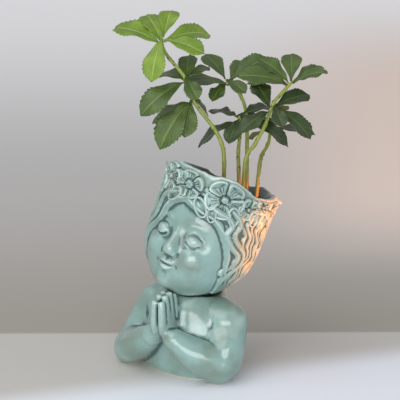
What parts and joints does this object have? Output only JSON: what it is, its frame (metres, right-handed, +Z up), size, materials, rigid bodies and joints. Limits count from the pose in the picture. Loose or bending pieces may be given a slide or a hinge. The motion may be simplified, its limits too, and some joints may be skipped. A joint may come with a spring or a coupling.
{
  "type": "head planter",
  "caption": "Glazed ceramic bust of a praying child with a flower wreath; its open tilted head is a plant pot with a leafy plant in a lift-out ball of soil",
  "frame": {"origin": "on the ground, midway between the two elbows and in line with the chest's front third", "axes": "+Z up; the child faces -Y, so +X is its left"},
  "size_m": [0.1756, 0.1788, 0.3243],
  "materials": {
    "glaze": "gloss",
    "bare_clay": "matte",
    "stopper_rubber": "matte",
    "soil": "matte",
    "stem": "satin",
    "young_leaf": "satin",
    "leaf": "satin"
  },
  "bodies": {
    "planter": {"bust_shell": "glaze", "left_arm": "glaze", "right_arm": "glaze", "left_hand": "glaze", "right_hand": "glaze", "head_pot": "glaze", "fringe_lock": "glaze", "temple_lock": "glaze", "ear_lock": "glaze", "right_fringe_lock": "glaze", "left_hair": "glaze", "back_hair": "glaze", "right_hair": "glaze", "flower_01": "glaze", "flower_02": "glaze", "flower_03": "glaze", "flower_04": "glaze", "flower_05": "glaze", "flower_06": "glaze", "flower_07": "glaze", "flower_08": "glaze", "flower_09": "glaze", "flower_10": "glaze", "flower_11": "glaze", "flower_12": "glaze", "flower_13": "glaze", "wreath_leaves": "glaze", "wreath_buds": "glaze", "bust_floor": "bare_clay"},
    "stopper": {"drain_stopper": "stopper_rubber"},
    "plant": {"root_ball": "soil", "tall_stem": "stem", "middle_stem": "stem", "left_stem": "stem", "right_stem": "stem", "rear_stem": "stem", "crown_whorl": "young_leaf", "upper_whorl": "leaf", "lower_whorl": "leaf", "left_whorl": "leaf", "middle_whorl": "leaf", "right_whorl": "leaf", "outer_whorl": "leaf", "rear_whorl": "leaf"}
  },
  "joints": [
    {"name": "plant_lift", "type": "slide", "parent": "planter", "child": "plant", "axis": [0.2511, 0.2419, 0.9372], "range_m": [0, 0.11]},
    {"name": "stopper_pull", "type": "slide", "parent": "planter", "child": "stopper", "axis": [0, 0, -1], "range_m": [0, 0.03]}
  ]
}
